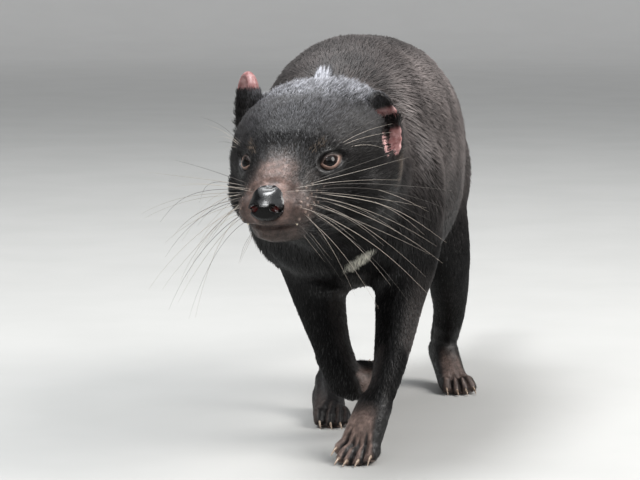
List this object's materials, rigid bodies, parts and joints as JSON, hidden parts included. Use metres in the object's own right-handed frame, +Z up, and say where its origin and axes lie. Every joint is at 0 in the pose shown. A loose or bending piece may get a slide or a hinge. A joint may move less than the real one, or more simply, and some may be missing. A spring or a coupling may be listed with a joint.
{
  "type": "tasmanian devil",
  "caption": "Tasmanian devil in mid-walk, life-size, with its head turned slightly to its right and its right forefoot lifted.",
  "frame": {"origin": "middle of the whole animal's bounding box, seen from above, at the level of its soles", "axes": "+Z up; the animal faces -Y; +X is towards its own left side"},
  "size_m": [0.246, 0.7654, 0.323],
  "materials": {
    "coat": "short, dense black fur with a grey sheen",
    "bare_skin": "pinkish brown skin with sparse hair",
    "ear_skin": "thin pink skin",
    "nose": "moist black, glossy",
    "eye": "dark brown, wet and glossy",
    "claw": "pale horn, satin",
    "tooth": "ivory, glossy",
    "whisker": "stiff hair, pale to dark"
  },
  "bodies": {
    "root": {"torso": "coat", "head": "coat", "lower_jaw": "coat", "neck": "coat", "forefoot_left": "bare_skin", "forefoot_right": "bare_skin", "hindfoot_left": "bare_skin", "hindfoot_right": "bare_skin", "tail": "coat", "foreleg_left": "coat", "foreleg_right": "coat", "hindleg_left": "coat", "hindleg_right": "coat", "eye_left": "eye", "eye_right": "eye", "ear_left": "ear_skin", "ear_right": "ear_skin", "nose": "nose", "canine_right": "tooth", "canine_left": "tooth", "foreclaw_left_1": "claw", "foreclaw_left_2": "claw", "foreclaw_left_3": "claw", "foreclaw_left_4": "claw", "foreclaw_left_5": "claw", "foreclaw_right_1": "claw", "foreclaw_right_2": "claw", "foreclaw_right_3": "claw", "foreclaw_right_4": "claw", "foreclaw_right_5": "claw", "hindclaw_left_1": "claw", "hindclaw_left_2": "claw", "hindclaw_left_3": "claw", "hindclaw_left_4": "claw", "hindclaw_right_1": "claw", "hindclaw_right_2": "claw", "hindclaw_right_3": "claw", "hindclaw_right_4": "claw", "whiskers_right": "whisker", "whiskers_left": "whisker"}
  },
  "joints": []
}
